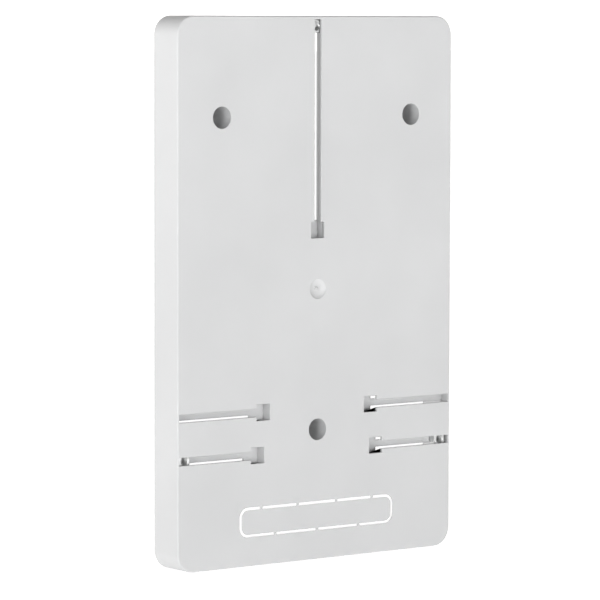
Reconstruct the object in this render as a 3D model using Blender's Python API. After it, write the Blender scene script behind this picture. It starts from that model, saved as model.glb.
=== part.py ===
"""Meter mounting board: a shallow moulded tray with T-slot tracks, screw tubes and a break-out.

Axes: +X to the right seen from the front, +Z up, and the front face looks along -Y.
The origin is the centre of the back plane, on the flat end of the central support pillar.
All depths are measured from the front face towards the wall.
"""

import math

import bmesh
import bpy
from mathutils import Vector

MM = 0.001

# Tray
WIDTH = 250 * MM
HEIGHT = 400 * MM
DEPTH = 30 * MM
CORNER_RADIUS = 14 * MM
SIDE_WALL = 2.2 * MM
FRONT_WALL = 2.2 * MM
FRONT_EDGE_RADIUS = 1.2 * MM
RIM_CHAMFER = 0.4 * MM
MOUTH_CHAMFER = 0.25 * MM

# Wall-screw tubes: two near the top, one low on the centre line
TUBE_BORE_RADIUS = 7.85 * MM
TUBE_WALL = 2.2 * MM
TUBE_FLOOR = 3 * MM
SCREW_HOLE_RADIUS = 3 * MM
UPPER_TUBE_X = 86.2 * MM
UPPER_TUBE_Z = 127 * MM
LOWER_TUBE_Z = -103.5 * MM

# T-slot tracks: a slot in the front wall, a wider channel behind it and a strip behind the nut
SLOT_WIDTH = 6 * MM
CHANNEL_WIDTH = 12.3 * MM
CHANNEL_FLOOR_DEPTH = 8.6 * MM
STRIP_WIDTH = 5.3 * MM
STRIP_THICKNESS = 2 * MM
TRACK_RIB = 1.6 * MM
POCKET_SIZE = 12 * MM
CUP_LIP = 0.65 * MM
TOP_POCKET_Z = 43.4 * MM
TOP_SLOT_END_Z = HEIGHT / 2 - 2.5 * MM
UPPER_ROW_Z = -87.8 * MM
UPPER_POCKET_X = 49.2 * MM
LOWER_ROW_Z = -119 * MM
LOWER_POCKET_X = 54.2 * MM
SIDE_SLOT_END_X = WIDTH / 2 - 1.5 * MM
END_WALL = 0.8 * MM
END_NOTCH_DEPTH = 1.5 * MM

# Cable break-out: a panel inside a slit, held by seven thin webs
PANEL_CENTRE_Z = -167.6 * MM
SLIT_HALF_LENGTH = 69.5 * MM
SLIT_HALF_HEIGHT = 9.95 * MM
SLIT_CORNER_RADIUS = 6.5 * MM
SLIT_WIDTH = 1.6 * MM
THIN_EDGE = 0.7 * MM
THIN_EDGE_WIDTH = 1.7 * MM
WEB_WIDTH = 2.5 * MM
WEB_GAP = 0.45 * MM
SCARF = 0.6 * MM
PANEL_RIB_GAP = 8 * MM
UPPER_WEB_X = (17.8 * MM, 50.9 * MM)
LOWER_WEB_X = (0, 38.3 * MM)

# Stiffening behind the front wall
LOW_RIB_DEPTH = 10 * MM
LOW_RIB = 1.5 * MM
MIDDLE_RIB_Z = UPPER_ROW_Z / 2
PILLAR_RADIUS = 5 * MM
GUSSET_REACH = 12 * MM
GUSSET = 2 * MM
GUSSET_RELIEF = 2 * MM

# Moulding marks on the front
GATE_RADIUS = 7.5 * MM
GATE_DEPTH = 1.7 * MM
GATE_PROFILE = ((0.05, 0.03), (0.35, 0.1), (0.7, 0.3), (0.9, 0.5), (1, 0.75))
NUB_RADIUS = 1.3 * MM
NUB_TOP = 0.4 * MM
NUB_ROUNDING = 0.5 * MM
NUB_OFFSET = (-0.6 * MM, 0.4 * MM)
INSERT_RADIUS = 6 * MM
INSERT_GROOVE = 0.35 * MM
INSERT_DEPTH = 0.08 * MM
INSERT_Z = -31 * MM

# Square M6 nuts that slide in the tracks
NUT_SIZE = 10 * MM
NUT_THICKNESS = 5 * MM
NUT_BORE_RADIUS = 2.6 * MM
NUT_CHAMFER = 0.5 * MM
NUT_CORNER_RADIUS = 0.8 * MM
NUT_END_PLAY = 0.4 * MM

# Facets of a quarter turn, by the size of the round
CORNER_STEPS = 10
BORE_STEPS = 14
SMALL_BORE_STEPS = 8
NUB_STEPS = 4
FRONT_EDGE_STEPS = 3

# Mesh cleaning: points closer than WELD are one, faces flatter than FLAT_ANGLE are one
WELD = 0.002 * MM
FLAT_ANGLE = math.radians(0.05)
SHARP_ANGLE = math.radians(32)

FRONT = -DEPTH
OVERLAP = 0.5 * MM
CLEAR = 1 * MM


def at_depth(depth):
    """The y of a plane that lies the given depth behind the front face."""
    return FRONT + depth


def clear_scene():
    for obj in list(bpy.data.objects):
        bpy.data.objects.remove(obj, do_unlink=True)


def make_material(name, color, roughness, metallic=0.0):
    material = bpy.data.materials.new(name)
    material.use_nodes = True
    shader = material.node_tree.nodes["Principled BSDF"]
    shader.inputs["Base Color"].default_value = (*color, 1.0)
    shader.inputs["Roughness"].default_value = roughness
    shader.inputs["Metallic"].default_value = metallic
    return material


def outline(half_x, half_z, radius, steps):
    """Points of a rounded rectangle in X and Z, counter-clockwise seen from the front."""
    if radius <= 0:
        return [(half_x, half_z), (-half_x, half_z), (-half_x, -half_z), (half_x, -half_z)]
    points = []
    for corner in range(4):
        centre_x = (half_x - radius) * (1 if corner in (0, 3) else -1)
        centre_z = (half_z - radius) * (1 if corner in (0, 1) else -1)
        for step in range(steps + 1):
            angle = math.radians(90) * (corner + step / steps)
            points.append((centre_x + radius * math.cos(angle), centre_z + radius * math.sin(angle)))
    return points


def stack(name, centre, half_x, half_z, radius, levels, steps=CORNER_STEPS):
    """A closed solid through rounded rectangles: levels are (y, growth) from front to back."""
    mesh = bmesh.new()
    loops = []
    for y, growth in levels:
        grown = max(radius + growth, 0) if radius > 0 else 0
        ring = outline(half_x + growth, half_z + growth, grown, steps)
        loops.append([mesh.verts.new((centre[0] + x, y, centre[1] + z)) for x, z in ring])
    mesh.faces.new(loops[0])
    mesh.faces.new(list(reversed(loops[-1])))
    count = len(loops[0])
    for near, far in zip(loops, loops[1:]):
        for i in range(count):
            j = (i + 1) % count
            mesh.faces.new((near[i], far[i], far[j], near[j]))
    bmesh.ops.remove_doubles(mesh, verts=mesh.verts, dist=WELD / 2)
    bmesh.ops.recalc_face_normals(mesh, faces=mesh.faces)
    return to_object(name, mesh)


def disc(name, centre, radius, levels, steps=BORE_STEPS):
    """A turned solid around an axis along Y; a full round is four quarter arcs."""
    return stack(name, centre, radius, radius, radius, levels, steps)


def box(name, low, high):
    """A plain box between two corners, used for ribs and strips."""
    centre = ((low[0] + high[0]) / 2, (low[2] + high[2]) / 2)
    half = ((high[0] - low[0]) / 2, (high[2] - low[2]) / 2)
    return stack(name, centre, half[0], half[1], 0, [(low[1], 0), (high[1], 0)])


def to_object(name, mesh):
    data = bpy.data.meshes.new(name)
    mesh.to_mesh(data)
    mesh.free()
    obj = bpy.data.objects.new(name, data)
    bpy.context.scene.collection.objects.link(obj)
    return obj


def combine(base, pieces, operation):
    """Join the pieces to the base, or cut them out of it, one by one."""
    for piece in pieces:
        modifier = base.modifiers.new(operation.lower(), "BOOLEAN")
        modifier.operation = operation
        modifier.solver = "EXACT"
        modifier.object = piece
        evaluated = base.evaluated_get(bpy.context.evaluated_depsgraph_get())
        result = bpy.data.meshes.new_from_object(evaluated)
        base.modifiers.clear()
        base.data = result
        bpy.data.objects.remove(piece, do_unlink=True)
    return base


def finish(obj, material, origin=(0, 0, 0)):
    """Clean the mesh, shade it, give it its material and put its origin on its joint."""
    mesh = bmesh.new()
    mesh.from_mesh(obj.data)
    bmesh.ops.remove_doubles(mesh, verts=mesh.verts, dist=WELD)
    bmesh.ops.dissolve_limit(mesh, angle_limit=FLAT_ANGLE, verts=mesh.verts, edges=mesh.edges)
    bmesh.ops.translate(mesh, verts=mesh.verts, vec=-Vector(origin))
    mesh.to_mesh(obj.data)
    mesh.free()
    obj.location = origin
    obj.data.shade_smooth()
    obj.data.set_sharp_from_angle(angle=SHARP_ANGLE)
    obj.data.materials.clear()
    obj.data.materials.append(material)


def tray():
    """The rounded tray: front wall and side walls, open at the back."""
    levels = []
    for step in range(FRONT_EDGE_STEPS + 1):
        angle = math.radians(90) * step / FRONT_EDGE_STEPS
        inset = FRONT_EDGE_RADIUS * (1 - math.sin(angle))
        levels.append((FRONT + FRONT_EDGE_RADIUS * (1 - math.cos(angle)), -inset))
    levels += [(-RIM_CHAMFER, 0), (0, -RIM_CHAMFER)]
    shell = stack("mounting_plate", (0, 0), WIDTH / 2, HEIGHT / 2, CORNER_RADIUS, levels)
    cavity = stack(
        "cavity",
        (0, 0),
        WIDTH / 2 - SIDE_WALL,
        HEIGHT / 2 - SIDE_WALL,
        CORNER_RADIUS - SIDE_WALL,
        [(at_depth(FRONT_WALL), -OVERLAP), (at_depth(FRONT_WALL) + OVERLAP, 0), (CLEAR, 0)],
    )
    return combine(shell, [cavity], "DIFFERENCE")


def tube_centres():
    return [(-UPPER_TUBE_X, UPPER_TUBE_Z), (UPPER_TUBE_X, UPPER_TUBE_Z), (0, LOWER_TUBE_Z)]


def tube_bodies():
    radius = TUBE_BORE_RADIUS + TUBE_WALL
    start = at_depth(FRONT_WALL - OVERLAP)
    levels = [(start, 0), (-RIM_CHAMFER, 0), (0, -RIM_CHAMFER)]
    return [disc("tube", centre, radius, levels) for centre in tube_centres()]


def tube_bores():
    """The wide bore, closed by a floor with a hole for the wall screw."""
    bore = [
        (FRONT - CLEAR, CLEAR + MOUTH_CHAMFER),
        (FRONT + MOUTH_CHAMFER, 0),
        (-TUBE_FLOOR, 0),
    ]
    hole = [(-TUBE_FLOOR - CLEAR, 0), (CLEAR, 0)]
    cutters = []
    for centre in tube_centres():
        cutters.append(disc("bore", centre, TUBE_BORE_RADIUS, bore))
        cutters.append(disc("screw_hole", centre, SCREW_HOLE_RADIUS, hole, steps=SMALL_BORE_STEPS))
    return cutters


def mouth_levels(depth):
    """Levels of a cutter that opens the front face with a slightly chamfered mouth."""
    return [
        (FRONT - CLEAR, CLEAR + MOUTH_CHAMFER),
        (FRONT + MOUTH_CHAMFER, 0),
        (at_depth(depth), 0),
    ]


def side_tracks():
    """Row height and pocket place of the four horizontal tracks, with the side they run to."""
    rows = ((UPPER_ROW_Z, UPPER_POCKET_X), (LOWER_ROW_Z, LOWER_POCKET_X))
    return [(side, z, pocket) for z, pocket in rows for side in (-1, 1)]


def span_box(name, along, across, depths):
    """A box from (low, high) pairs along X, along Z and in depth behind the front face."""
    low_x, high_x = sorted(along)
    low_z, high_z = sorted(across)
    low = (low_x, at_depth(depths[0]), low_z)
    high = (high_x, at_depth(depths[1]), high_z)
    return box(name, low, high)


def track_walls():
    """Ribs beside each channel, the closed cup behind each pocket and the strip behind the nut."""
    half = CHANNEL_WIDTH / 2
    pocket_half = POCKET_SIZE / 2
    track_depth = CHANNEL_FLOOR_DEPTH + STRIP_THICKNESS
    rib_span = (FRONT_WALL - OVERLAP, track_depth)
    strip_span = (CHANNEL_FLOOR_DEPTH, track_depth)
    strip_half = STRIP_WIDTH / 2
    pieces = []

    start = TOP_POCKET_Z - pocket_half
    wall_top = HEIGHT / 2 - SIDE_WALL + OVERLAP
    for side in (-1, 1):
        rib_x = (side * half, side * (half + TRACK_RIB))
        pieces.append(span_box("rib", rib_x, (start - TRACK_RIB, wall_top), rib_span))
    wide = (-half - OVERLAP, half + OVERLAP)
    pieces.append(span_box("cup_end", wide, (start - TRACK_RIB, start), rib_span))
    cup_end = start + POCKET_SIZE + CUP_LIP
    pieces.append(span_box("cup_floor", wide, (start - OVERLAP, cup_end), strip_span))
    strip_z = (start + POCKET_SIZE - OVERLAP, wall_top)
    pieces.append(span_box("strip", (-strip_half, strip_half), strip_z, strip_span))

    wall_x = WIDTH / 2 - SIDE_WALL + OVERLAP
    for side, z, pocket in side_tracks():
        start = pocket - pocket_half
        cup_end = start + POCKET_SIZE + CUP_LIP
        for edge in (-1, 1):
            rib_z = (z + edge * half, z + edge * (half + TRACK_RIB))
            pieces.append(span_box("rib", (side * (start - TRACK_RIB), side * wall_x), rib_z, rib_span))
        tall = (z - half - OVERLAP, z + half + OVERLAP)
        pieces.append(span_box("cup_end", (side * (start - TRACK_RIB), side * start), tall, rib_span))
        floor_x = (side * (start - OVERLAP), side * cup_end)
        pieces.append(span_box("cup_floor", floor_x, tall, strip_span))
        strip_x = (side * (start + POCKET_SIZE - OVERLAP), side * wall_x)
        pieces.append(span_box("strip", strip_x, (z - strip_half, z + strip_half), strip_span))
    return pieces


def slot_cutter(along, across):
    centre = ((along[0] + along[1]) / 2, (across[0] + across[1]) / 2)
    half_x = abs(along[1] - along[0]) / 2
    half_z = abs(across[1] - across[0]) / 2
    return stack("slot", centre, half_x, half_z, 0, mouth_levels(FRONT_WALL + OVERLAP / 2))


def track_openings():
    """The slot, the pocket and, where the track meets the side wall, the notch of each track."""
    half = SLOT_WIDTH / 2
    pocket_half = POCKET_SIZE / 2
    pocket_levels = mouth_levels(FRONT_WALL + OVERLAP / 2)
    cutters = [slot_cutter((-half, half), (TOP_POCKET_Z, TOP_SLOT_END_Z))]
    centres = [(0, TOP_POCKET_Z)]
    for side, z, pocket in side_tracks():
        cutters.append(slot_cutter((side * pocket, side * SIDE_SLOT_END_X), (z - half, z + half)))
        centres.append((side * pocket, z))
        notch_x = (side * (WIDTH / 2 - SIDE_WALL - OVERLAP), side * (WIDTH / 2 - END_WALL))
        notch_depths = (END_NOTCH_DEPTH, CHANNEL_FLOOR_DEPTH)
        cutters.append(span_box("end_notch", notch_x, (z - half, z + half), notch_depths))
    for centre in centres:
        cutters.append(stack("pocket", centre, pocket_half, pocket_half, 0, pocket_levels))
    return cutters


def low_ribs():
    """A shallow grid behind the front wall that stops at the tracks and the screw tubes."""
    wall_x = WIDTH / 2 - SIDE_WALL + OVERLAP
    wall_z = HEIGHT / 2 - SIDE_WALL + OVERLAP
    track_half = CHANNEL_WIDTH / 2 + TRACK_RIB / 2
    track_top = UPPER_ROW_Z + track_half
    track_bottom = LOWER_ROW_Z - track_half
    cup_bottom = TOP_POCKET_Z - POCKET_SIZE / 2 - TRACK_RIB / 2
    inner_x = UPPER_POCKET_X
    panel_top = PANEL_CENTRE_Z + SLIT_HALF_HEIGHT + PANEL_RIB_GAP
    spans = []
    for side in (-1, 1):
        spans.append(((side * inner_x,) * 2, (track_top, wall_z)))
        spans.append(((side * UPPER_TUBE_X,) * 2, (track_top, wall_z)))
        spans.append(((side * UPPER_TUBE_X,) * 2, (panel_top, track_bottom)))
        spans.append(((side * track_half, side * wall_x), (UPPER_TUBE_Z,) * 2))
        spans.append(((side * track_half, side * wall_x), (2 * UPPER_TUBE_Z - wall_z,) * 2))
        spans.append(((side * track_half, side * wall_x), ((UPPER_TUBE_Z + wall_z) / 2,) * 2))
    spans.append(((0, 0), (panel_top, cup_bottom)))
    spans.append(((-wall_x, wall_x), (0, 0)))
    spans.append(((-wall_x, wall_x), (MIDDLE_RIB_Z,) * 2))
    spans.append(((-wall_x, wall_x), (panel_top,) * 2))
    half = LOW_RIB / 2
    ribs = []
    for (x0, x1), (z0, z1) in spans:
        along = (x0 - half, x1 + half) if x0 == x1 else (x0, x1)
        across = (z0 - half, z1 + half) if z0 == z1 else (z0, z1)
        ribs.append(span_box("low_rib", along, across, (FRONT_WALL - OVERLAP, LOW_RIB_DEPTH)))
    return ribs


def support_pillar():
    """A pillar with four gussets that carries the middle of the tray on the wall."""
    start = at_depth(FRONT_WALL - OVERLAP)
    pieces = [disc("pillar", (0, 0), PILLAR_RADIUS, [(start, 0), (0, 0)], steps=SMALL_BORE_STEPS)]
    end = -GUSSET_RELIEF
    half = GUSSET / 2
    pieces.append(box("gusset", (-GUSSET_REACH, start, -half), (GUSSET_REACH, end, half)))
    pieces.append(box("gusset", (-half, start, -GUSSET_REACH), (half, end, GUSSET_REACH)))
    return pieces


def breakout_opening():
    """The opening for the panel; the wall around it is thinned from behind."""
    grow = SLIT_WIDTH / 2
    thin = at_depth(THIN_EDGE)
    levels = [(FRONT - CLEAR, grow), (thin, grow), (thin, grow + THIN_EDGE_WIDTH)]
    levels.append((at_depth(FRONT_WALL + OVERLAP), grow + THIN_EDGE_WIDTH))
    return stack(
        "opening", (0, PANEL_CENTRE_Z), SLIT_HALF_LENGTH, SLIT_HALF_HEIGHT, SLIT_CORNER_RADIUS, levels
    )


def webs():
    """Thin webs across the slit, each ending in a scarf under the panel's chamfered edge."""
    pieces = []
    reach = SLIT_HALF_HEIGHT + SLIT_WIDTH / 2 + OVERLAP
    tip = SLIT_HALF_HEIGHT - SLIT_WIDTH / 2 + WEB_GAP
    places = [(side * x, 1) for x in UPPER_WEB_X for side in (-1, 1)]
    places += [(side * x, -1) for x in LOWER_WEB_X for side in ((-1, 1) if x else (1,))]
    scarf_start = THIN_EDGE - SCARF
    section = [(0, reach), (0, tip), (scarf_start, tip), (THIN_EDGE, tip - SCARF), (THIN_EDGE, reach)]
    for x, edge in places:
        mesh = bmesh.new()
        sides = []
        for end in (-1, 1):
            end_x = x + end * WEB_WIDTH / 2
            points = [(end_x, at_depth(d), PANEL_CENTRE_Z + edge * z) for d, z in section]
            sides.append([mesh.verts.new(point) for point in points])
        mesh.faces.new(sides[0])
        mesh.faces.new(list(reversed(sides[1])))
        for i in range(len(section)):
            j = (i + 1) % len(section)
            mesh.faces.new((sides[0][i], sides[1][i], sides[1][j], sides[0][j]))
        bmesh.ops.recalc_face_normals(mesh, faces=mesh.faces)
        pieces.append(to_object("web", mesh))
    return pieces


def gate_recess():
    """The shallow round dish where the mould was filled."""
    levels = [(FRONT - MOUTH_CHAMFER, MOUTH_CHAMFER)]
    levels += [(FRONT + GATE_DEPTH * down, -GATE_RADIUS * inward) for down, inward in GATE_PROFILE]
    return disc("gate_recess", (0, 0), GATE_RADIUS, levels)


def gate_nub():
    """The broken-off stub of the filling channel."""
    levels = [
        (FRONT + NUB_TOP, -NUB_ROUNDING),
        (FRONT + NUB_TOP + NUB_ROUNDING, 0),
        (FRONT + GATE_DEPTH + OVERLAP, 0),
    ]
    return disc("gate_nub", NUB_OFFSET, NUB_RADIUS, levels, steps=NUB_STEPS)


def insert_ring():
    """The fine parting line of a round mould insert below the gate."""
    centre = (0, INSERT_Z)
    levels = [(FRONT - CLEAR, 0), (FRONT + INSERT_DEPTH, 0)]
    ring = disc("ring", centre, INSERT_RADIUS, levels)
    core = disc("core", centre, INSERT_RADIUS - INSERT_GROOVE, [(FRONT - 2 * CLEAR, 0), (FRONT + CLEAR, 0)])
    return combine(ring, [core], "DIFFERENCE")


def build_plate(material):
    plate = tray()
    combine(plate, tube_bodies() + track_walls() + low_ribs() + support_pillar(), "UNION")
    combine(plate, tube_bores() + track_openings() + [breakout_opening()], "DIFFERENCE")
    combine(plate, webs(), "UNION")
    combine(plate, [gate_recess(), insert_ring()], "DIFFERENCE")
    combine(plate, [gate_nub()], "UNION")
    finish(plate, material)


def build_panel(material):
    """The break-out panel: full thickness in the middle, thin and chamfered at its edge."""
    shrink = -SLIT_WIDTH / 2
    thin = at_depth(THIN_EDGE)
    body = shrink - THIN_EDGE_WIDTH
    levels = [
        (FRONT, shrink),
        (at_depth(THIN_EDGE - SCARF), shrink),
        (thin, shrink - SCARF),
        (thin, body),
        (at_depth(FRONT_WALL), body),
    ]
    panel = stack(
        "cable_knockout",
        (0, PANEL_CENTRE_Z),
        SLIT_HALF_LENGTH,
        SLIT_HALF_HEIGHT,
        SLIT_CORNER_RADIUS,
        levels,
    )
    finish(panel, material, (0, FRONT, PANEL_CENTRE_Z))


def build_nut(name, centre_x, centre_z, material):
    """A square nut between the front wall and the strip."""
    middle = at_depth((FRONT_WALL + CHANNEL_FLOOR_DEPTH) / 2)
    near = middle - NUT_THICKNESS / 2
    far = middle + NUT_THICKNESS / 2
    levels = [(near, -NUT_CHAMFER), (near + NUT_CHAMFER / 2, 0), (far, 0)]
    half = NUT_SIZE / 2
    nut = stack(name, (centre_x, centre_z), half, half, NUT_CORNER_RADIUS, levels, steps=NUB_STEPS)
    flare = [
        (near - CLEAR, CLEAR + NUT_CHAMFER),
        (near + NUT_CHAMFER, 0),
        (far - NUT_CHAMFER, 0),
        (far + CLEAR, CLEAR + NUT_CHAMFER),
    ]
    bore = disc("thread", (centre_x, centre_z), NUT_BORE_RADIUS, flare, steps=SMALL_BORE_STEPS)
    combine(nut, [bore], "DIFFERENCE")
    finish(nut, material, (centre_x, middle, centre_z))


def build_nuts(material):
    """One nut for the meter's top lug and one for each lower lug, pushed to the ends of their tracks."""
    end = NUT_SIZE / 2 + NUT_END_PLAY
    outer = WIDTH / 2 - SIDE_WALL - end
    build_nut("slide_nut_top", 0, HEIGHT / 2 - SIDE_WALL - end, material)
    build_nut("slide_nut_left", -outer, LOWER_ROW_Z, material)
    build_nut("slide_nut_right", outer, LOWER_ROW_Z, material)


def main():
    clear_scene()
    plastic = make_material("light_grey_plastic", (0.69, 0.69, 0.69), 0.45)
    zinc = make_material("zinc_plated_steel", (0.72, 0.72, 0.7), 0.35, 1.0)
    build_plate(plastic)
    build_panel(plastic)
    build_nuts(zinc)


main()
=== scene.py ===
"""Looks of the meter mounting board: moulded grey plastic, zinc-plated nuts and a bright studio."""

import math

import bmesh
import bpy
from mathutils import Matrix, Vector


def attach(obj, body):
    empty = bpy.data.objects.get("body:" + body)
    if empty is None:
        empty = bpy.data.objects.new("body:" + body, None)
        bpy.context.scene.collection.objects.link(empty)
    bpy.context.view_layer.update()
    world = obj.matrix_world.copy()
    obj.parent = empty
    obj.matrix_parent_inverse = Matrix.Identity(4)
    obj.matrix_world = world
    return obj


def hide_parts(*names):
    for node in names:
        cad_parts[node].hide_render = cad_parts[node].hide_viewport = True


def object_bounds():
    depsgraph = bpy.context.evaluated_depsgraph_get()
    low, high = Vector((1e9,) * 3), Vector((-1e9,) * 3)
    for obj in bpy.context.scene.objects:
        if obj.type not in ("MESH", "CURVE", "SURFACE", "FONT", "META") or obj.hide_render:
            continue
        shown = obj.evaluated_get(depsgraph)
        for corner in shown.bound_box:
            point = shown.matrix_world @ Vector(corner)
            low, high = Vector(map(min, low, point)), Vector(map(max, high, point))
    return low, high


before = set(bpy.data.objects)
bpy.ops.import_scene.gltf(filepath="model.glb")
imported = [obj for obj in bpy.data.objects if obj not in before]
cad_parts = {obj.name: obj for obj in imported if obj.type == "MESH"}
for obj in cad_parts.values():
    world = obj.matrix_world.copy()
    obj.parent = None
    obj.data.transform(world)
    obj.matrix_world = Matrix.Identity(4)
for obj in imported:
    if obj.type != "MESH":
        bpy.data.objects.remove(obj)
cad_low, cad_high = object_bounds()

MM = 0.001

# Camera: where it stands around the board, and its lens and sensor
VIEW_AZIMUTH = -36.59
VIEW_ELEVATION = 4.56
VIEW_ROLL = 0.12
VIEW_TARGET = (-16.3 * MM, -30 * MM, -7.3 * MM)
VIEW_DISTANCE = 2599 * MM
LENS_MM = 213.2
SENSOR_MM = 36
VIEW_REACH = 100

# Studio, in metres: a floor whose glow grows from the first radius to the second, world brightness by
# height above the horizon and from the front round to the back, and soft lights, each with its name,
# azimuth, elevation, distance, diameter and power
FLOOR_HALF = 60
FLOOR_DROP = 0.35
FLOOR_STEPS = 8
FLOOR_GLOW = (0.5, 0.8)
FLOOR_GLOW_RADII = (0.8, 1.8)
WORLD_COLOR = (1, 0.988, 0.976)
WORLD_WHITE = 1.5
WORLD_DIM = 0.3
WORLD_BAND = (0.35, 0.5)
WORLD_FRONT_SHARE = 0.05
WORLD_TURN = (-0.2, 0.3)
LIGHTS = (
    ("front", 4, 3, 5.0, 1.6, 101),
    ("front_left", -60, 5, 5.0, 2.0, 90),
    ("left_rim", -105, 6, 5.0, 2.5, 50),
)

# Edge rounding that moulded plastic has everywhere, except on steps too small to carry it
EDGE_RADIUS = 0.2 * MM
EDGE_STEPS = 2
EDGE_ANGLE = math.radians(50)
SMALLEST_STEP = 0.55 * MM
WELD = 0.002 * MM
FLAT_ANGLE = math.radians(0.1)
SHARP_ANGLE = math.radians(35)

# Square M6 nuts: the turned front chamfer, the countersinks and the metric coarse thread, whose
# corners lie at these places along one pitch, first two on the minor and last two on the major diameter
NUT_CORNER = 0.8 * MM
NUT_BACK_BEVEL = 0.25 * MM
CHAMFER_RADIUS = 4.7 * MM
CHAMFER_SLOPE = math.tan(math.radians(30))
THREAD_MAJOR = 3.0 * MM
THREAD_MINOR = 2.46 * MM
THREAD_PITCH = 1.0 * MM
THREAD_CORNERS = (0, 0.25, 0.5625, 0.6875)
COUNTERSINK_RADIUS = 3.2 * MM
NUT_STEPS = 64
NUT_WELD = 0.001 * MM
NUT_SLIVER = 0.0005 * MM
NUT_SHARP_ANGLE = math.radians(25)


# ---------------------------------------------------------------- materials

class Nodes:
    """A short way to build the node tree of a material or of the world."""

    def __init__(self, owner, shader="Principled BSDF"):
        owner.use_nodes = True
        self.owner = owner
        self.tree = owner.node_tree
        self.shader = self.tree.nodes[shader]
        self.coordinates = self.add("ShaderNodeTexCoord").outputs

    def add(self, kind, **values):
        node = self.tree.nodes.new(kind)
        for key, value in values.items():
            setattr(node, key, value)
        return node

    def link(self, source, target):
        self.tree.links.new(source, target)

    def noise(self, scale, detail=3.0, stretch=(1, 1, 1)):
        mapping = self.add("ShaderNodeMapping")
        mapping.inputs["Scale"].default_value = stretch
        self.link(self.coordinates["Object"], mapping.inputs["Vector"])
        node = self.add("ShaderNodeTexNoise")
        node.inputs["Scale"].default_value = scale
        node.inputs["Detail"].default_value = detail
        self.link(mapping.outputs["Vector"], node.inputs["Vector"])
        return node.outputs["Fac"]

    def calculate(self, operation, *values):
        node = self.add("ShaderNodeMath", operation=operation)
        for socket, value in zip(node.inputs, values):
            if isinstance(value, float):
                socket.default_value = value
            else:
                self.link(value, socket)
        return node.outputs["Value"]

    def ramp(self, factor, low, high, start=0.35, end=0.65, curve="LINEAR"):
        node = self.add("ShaderNodeMapRange", interpolation_type=curve)
        node.inputs["From Min"].default_value = start
        node.inputs["From Max"].default_value = end
        node.inputs["To Min"].default_value = low
        node.inputs["To Max"].default_value = high
        self.link(factor, node.inputs["Value"])
        return node.outputs["Result"]

    def tint(self, factor, dark, light):
        node = self.add("ShaderNodeMix", data_type="RGBA")
        node.inputs["A"].default_value = (*dark, 1)
        node.inputs["B"].default_value = (*light, 1)
        self.link(factor, node.inputs["Factor"])
        return node.outputs["Result"]

    def bump(self, height, distance, strength, normal=None):
        node = self.add("ShaderNodeBump")
        node.inputs["Distance"].default_value = distance
        node.inputs["Strength"].default_value = strength
        self.link(height, node.inputs["Height"])
        if normal is not None:
            self.link(normal, node.inputs["Normal"])
        return node.outputs["Normal"]


def plastic_material():
    """Light grey moulded plastic with a fine spark-eroded grain."""
    nodes = Nodes(bpy.data.materials.new("light_grey_plastic"))
    drift = nodes.noise(14, 2)
    speckle = nodes.noise(900, 2)
    factor = nodes.ramp(nodes.calculate("MULTIPLY_ADD", speckle, 0.25, drift), 0, 1, 0.45, 0.85)
    color = nodes.tint(factor, (0.58, 0.584, 0.588), (0.61, 0.614, 0.618))
    nodes.link(color, nodes.shader.inputs["Base Color"])
    rough = nodes.ramp(nodes.noise(60, 4), 0.4, 0.5)
    nodes.link(rough, nodes.shader.inputs["Roughness"])
    grain = nodes.noise(2600, 3)
    waves = nodes.noise(22, 1)
    normal = nodes.bump(grain, 0.02 * MM, 0.35)
    normal = nodes.bump(waves, 0.25 * MM, 0.12, normal)
    nodes.link(normal, nodes.shader.inputs["Normal"])
    nodes.shader.inputs["Specular IOR Level"].default_value = 0.4
    return nodes.owner


def zinc_material():
    """Bright zinc plating over cold-formed steel."""
    nodes = Nodes(bpy.data.materials.new("zinc_plated_steel"))
    patches = nodes.noise(420, 4)
    color = nodes.tint(nodes.ramp(patches, 0, 1), (0.60, 0.61, 0.60), (0.76, 0.765, 0.77))
    nodes.link(color, nodes.shader.inputs["Base Color"])
    nodes.shader.inputs["Metallic"].default_value = 1.0
    nodes.link(nodes.ramp(nodes.noise(900, 3), 0.28, 0.46), nodes.shader.inputs["Roughness"])
    scratches = nodes.noise(1500, 3, (1, 1, 0.15))
    nodes.link(nodes.bump(scratches, 0.02 * MM, 0.3), nodes.shader.inputs["Normal"])
    return nodes.owner


def floor_material():
    """A pale matt studio floor that glows more with distance, so that no horizon shows."""
    nodes = Nodes(bpy.data.materials.new("studio_floor"))
    color = nodes.tint(nodes.ramp(nodes.noise(3, 2), 0, 1), (0.92, 0.92, 0.92), (0.94, 0.94, 0.94))
    nodes.link(color, nodes.shader.inputs["Base Color"])
    nodes.shader.inputs["Roughness"].default_value = 0.9
    nodes.shader.inputs["Emission Color"].default_value = (1, 1, 1, 1)
    distance = nodes.add("ShaderNodeVectorMath", operation="LENGTH")
    nodes.link(nodes.coordinates["Object"], distance.inputs[0])
    glow = nodes.ramp(distance.outputs["Value"], *FLOOR_GLOW, *FLOOR_GLOW_RADII)
    nodes.link(glow, nodes.shader.inputs["Emission Strength"])
    return nodes.owner


# ---------------------------------------------------------------- pieces

def add_object(name, data):
    """A new object in the scene, for a mesh, a light or the camera."""
    obj = bpy.data.objects.new(name, data)
    bpy.context.scene.collection.objects.link(obj)
    return obj


def add_mesh_object(name, mesh, material):
    """A new object in the scene that takes over this edit mesh, in one material."""
    data = bpy.data.meshes.new(name)
    mesh.to_mesh(data)
    mesh.free()
    data.materials.append(material)
    return add_object(name, data)


def can_be_rounded(edge):
    """True for a sharp edge whose two faces are both wide enough for the rounding."""
    if len(edge.link_faces) != 2 or edge.calc_face_angle() < EDGE_ANGLE:
        return False
    start = edge.verts[0].co
    along = (edge.verts[1].co - start).normalized()
    for face in edge.link_faces:
        across = [(vertex.co - start) - along * (vertex.co - start).dot(along) for vertex in face.verts]
        if max(offset.length for offset in across) < SMALLEST_STEP:
            return False
    return True


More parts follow.
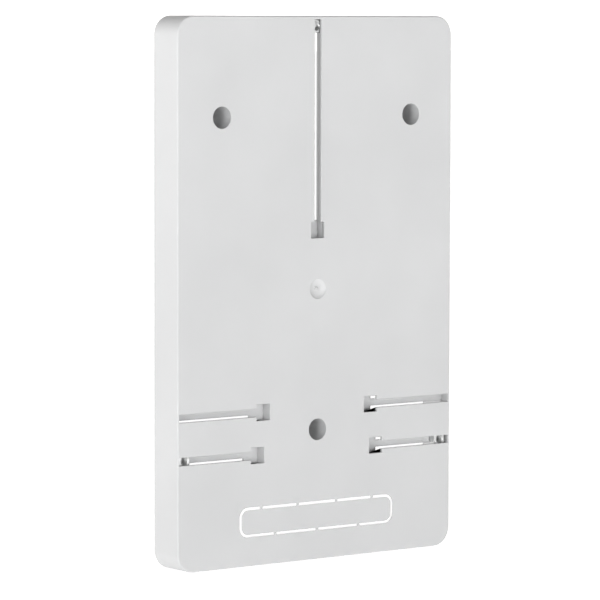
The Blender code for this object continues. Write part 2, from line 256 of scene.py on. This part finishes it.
def softened_copy(node, name, material):
    """A copy of a CAD node's shape with its sharp edges rounded, which stands for the node."""
    mesh = bmesh.new()
    mesh.from_mesh(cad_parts[node].data)
    bmesh.ops.remove_doubles(mesh, verts=mesh.verts, dist=WELD)
    bmesh.ops.dissolve_limit(mesh, angle_limit=FLAT_ANGLE, verts=mesh.verts, edges=mesh.edges)
    weights = mesh.edges.layers.float.new("bevel_weight_edge")
    for edge in mesh.edges:
        edge[weights] = 1 if can_be_rounded(edge) else 0
    piece = add_mesh_object(name, mesh, material)
    piece.data.shade_smooth()
    bevel = piece.modifiers.new("edges", "BEVEL")
    bevel.width = EDGE_RADIUS
    bevel.segments = EDGE_STEPS
    bevel.limit_method = "WEIGHT"
    bevel.use_clamp_overlap = False
    apply_modifiers(piece)
    piece.data.set_sharp_from_angle(angle=SHARP_ANGLE)
    flat = piece.modifiers.new("flat_faces", "WEIGHTED_NORMAL")
    flat.keep_sharp = True
    apply_modifiers(piece)
    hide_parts(node)
    return piece


def apply_modifiers(piece):
    """Replace a piece's mesh by what its modifiers make of it."""
    evaluated = piece.evaluated_get(bpy.context.evaluated_depsgraph_get())
    data = bpy.data.meshes.new_from_object(evaluated)
    piece.modifiers.clear()
    piece.data = data


def node_box(node):
    """The low and high corners of a CAD node."""
    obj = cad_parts[node]
    points = [obj.matrix_world @ vertex.co for vertex in obj.data.vertices]
    low = Vector([min(point[i] for point in points) for i in range(3)])
    high = Vector([max(point[i] for point in points) for i in range(3)])
    return low, high


def square_radius(angle, half):
    """Distance from the centre to a square with rounded corners, in this direction."""
    x, z = abs(math.cos(angle)), abs(math.sin(angle))
    flat = half / max(x, z)
    inner = half - NUT_CORNER
    along = inner * (x + z)
    reach = along + math.sqrt(max(along * along - 2 * inner * inner + NUT_CORNER * NUT_CORNER, 0))
    on_corner = min(x, z) * flat > inner
    return reach if on_corner else flat


def thread_radius(turns):
    """Radius of the thread at this many pitches along its helix."""
    part = turns % 1
    root_end, crest_start, crest_end = THREAD_CORNERS[1:]
    if part <= root_end:
        return THREAD_MINOR
    if part <= crest_start:
        climb = (part - root_end) / (crest_start - root_end)
    elif part <= crest_end:
        climb = 1
    else:
        climb = (1 - part) / (1 - crest_end)
    return THREAD_MINOR + (THREAD_MAJOR - THREAD_MINOR) * climb


def add_thread(mesh, near, far):
    """The helical wall of the bore, trimmed by the two faces and their countersinks."""
    pitches = math.ceil((far - near) / THREAD_PITCH) + 1
    turns = [k - 1 + corner for k in range(pitches + 1) for corner in THREAD_CORNERS]
    columns = []
    for i in range(NUT_STEPS):
        share = i / NUT_STEPS
        angle = math.tau * share
        column = []
        for turn in turns:
            y = min(max(near + (turn + share) * THREAD_PITCH, near), far)
            sink = COUNTERSINK_RADIUS - min(y - near, far - y)
            radius = max(thread_radius((y - near) / THREAD_PITCH - share), sink)
            column.append(mesh.verts.new((radius * math.cos(angle), y, radius * math.sin(angle))))
        columns.append(column)
    per_pitch = len(THREAD_CORNERS)
    for i, column in enumerate(columns):
        wraps = i == NUT_STEPS - 1
        other = columns[0][per_pitch:] if wraps else columns[i + 1]
        for j in range(min(len(column), len(other)) - 1):
            mesh.faces.new((column[j], column[j + 1], other[j + 1], other[j]))


def make_nut(name, node, material):
    """A square nut whose front corners are turned down to a cone, with a threaded bore."""
    low, high = node_box(node)
    centre = (low + high) / 2
    half = (high[0] - low[0]) / 2
    near, far = low[1] - centre[1], high[1] - centre[1]
    mesh = bmesh.new()
    rings = []
    for shape in ("bore_near", "chamfer", "edge_near", "edge_far", "back", "bore_far"):
        ring = []
        for i in range(NUT_STEPS):
            angle = math.tau * i / NUT_STEPS
            outer = square_radius(angle, half)
            radius, y = {
                "bore_near": (COUNTERSINK_RADIUS, near),
                "chamfer": (CHAMFER_RADIUS, near),
                "edge_near": (outer, near + (outer - CHAMFER_RADIUS) * CHAMFER_SLOPE),
                "edge_far": (outer, far - NUT_BACK_BEVEL),
                "back": (outer - NUT_BACK_BEVEL, far),
                "bore_far": (COUNTERSINK_RADIUS, far),
            }[shape]
            ring.append(mesh.verts.new((radius * math.cos(angle), y, radius * math.sin(angle))))
        rings.append(ring)
    for inner, outer in zip(rings, rings[1:]):
        for i in range(NUT_STEPS):
            j = (i + 1) % NUT_STEPS
            mesh.faces.new((inner[i], outer[i], outer[j], inner[j]))
    add_thread(mesh, near, far)
    bmesh.ops.remove_doubles(mesh, verts=mesh.verts, dist=NUT_WELD)
    bmesh.ops.dissolve_degenerate(mesh, edges=mesh.edges, dist=NUT_SLIVER)
    bmesh.ops.recalc_face_normals(mesh, faces=mesh.faces)
    bmesh.ops.translate(mesh, verts=mesh.verts, vec=centre)
    piece = add_mesh_object(name, mesh, material)
    piece.data.shade_smooth()
    piece.data.set_sharp_from_angle(angle=NUT_SHARP_ANGLE)
    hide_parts(node)
    return piece


plastic = plastic_material()
zinc = zinc_material()

board = softened_copy("mounting_plate", "board_moulding", plastic)
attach(board, "board")

panel = softened_copy("cable_knockout", "breakout_panel", plastic)
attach(panel, "knockout")

for side in ("top", "left", "right"):
    nut = make_nut("square_nut_" + side, "slide_nut_" + side, zinc)
    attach(nut, "nut_" + side)


# ---------------------------------------------------------------- studio

def direction_from(azimuth, elevation):
    """Unit vector from the board towards a place at this azimuth and elevation in degrees."""
    a, e = math.radians(azimuth), math.radians(elevation)
    return Vector((math.sin(a) * math.cos(e), -math.cos(a) * math.cos(e), math.sin(e)))


def make_floor():
    mesh = bmesh.new()
    bmesh.ops.create_grid(mesh, x_segments=FLOOR_STEPS, y_segments=FLOOR_STEPS, size=FLOOR_HALF)
    floor = add_mesh_object("floor", mesh, floor_material())
    floor.location = (0, 0, cad_low[2] - FLOOR_DROP)


def make_area_light(name, azimuth, elevation, distance, size, power):
    data = bpy.data.lights.new(name, "AREA")
    data.shape = "DISK"
    data.size = size
    data.energy = power
    light = add_object(name, data)
    offset = direction_from(azimuth, elevation) * distance
    light.location = offset
    light.rotation_euler = (-offset).to_track_quat("-Z", "Y").to_euler()


def make_world():
    """A backdrop that is white where the camera looks and lights the board less from its front.

    Its brightness falls from near the horizon to far above and below it.
    """
    world = bpy.data.worlds.new("studio")
    bpy.context.scene.world = world
    nodes = Nodes(world, "Background")
    split = nodes.add("ShaderNodeSeparateXYZ")
    nodes.link(nodes.coordinates["Generated"], split.inputs["Vector"])
    height = nodes.calculate("ABSOLUTE", split.outputs["Z"])
    band = nodes.ramp(height, WORLD_WHITE, WORLD_DIM, *WORLD_BAND, "SMOOTHSTEP")
    share = nodes.ramp(split.outputs["Y"], WORLD_FRONT_SHARE, 1, *WORLD_TURN, "SMOOTHSTEP")
    is_seen = nodes.add("ShaderNodeLightPath").outputs["Is Camera Ray"]
    strength = nodes.calculate("MULTIPLY", band, nodes.calculate("MAXIMUM", share, is_seen))
    nodes.shader.inputs["Color"].default_value = (*WORLD_COLOR, 1)
    nodes.link(strength, nodes.shader.inputs["Strength"])


def make_camera():
    data = bpy.data.cameras.new("camera")
    data.lens = LENS_MM
    data.sensor_width = SENSOR_MM
    data.clip_end = VIEW_REACH
    camera = add_object("camera", data)
    offset = direction_from(VIEW_AZIMUTH, VIEW_ELEVATION)
    camera.location = Vector(VIEW_TARGET) + offset * VIEW_DISTANCE
    level = (-offset).to_track_quat("-Z", "Y").to_matrix()
    camera.rotation_euler = (level @ Matrix.Rotation(math.radians(VIEW_ROLL), 3, "Z")).to_euler()
    bpy.context.scene.camera = camera


make_floor()
make_world()
for light in LIGHTS:
    make_area_light(*light)
make_camera()
bpy.context.scene.view_settings.view_transform = "Standard"
bpy.context.scene.view_settings.look = "None"
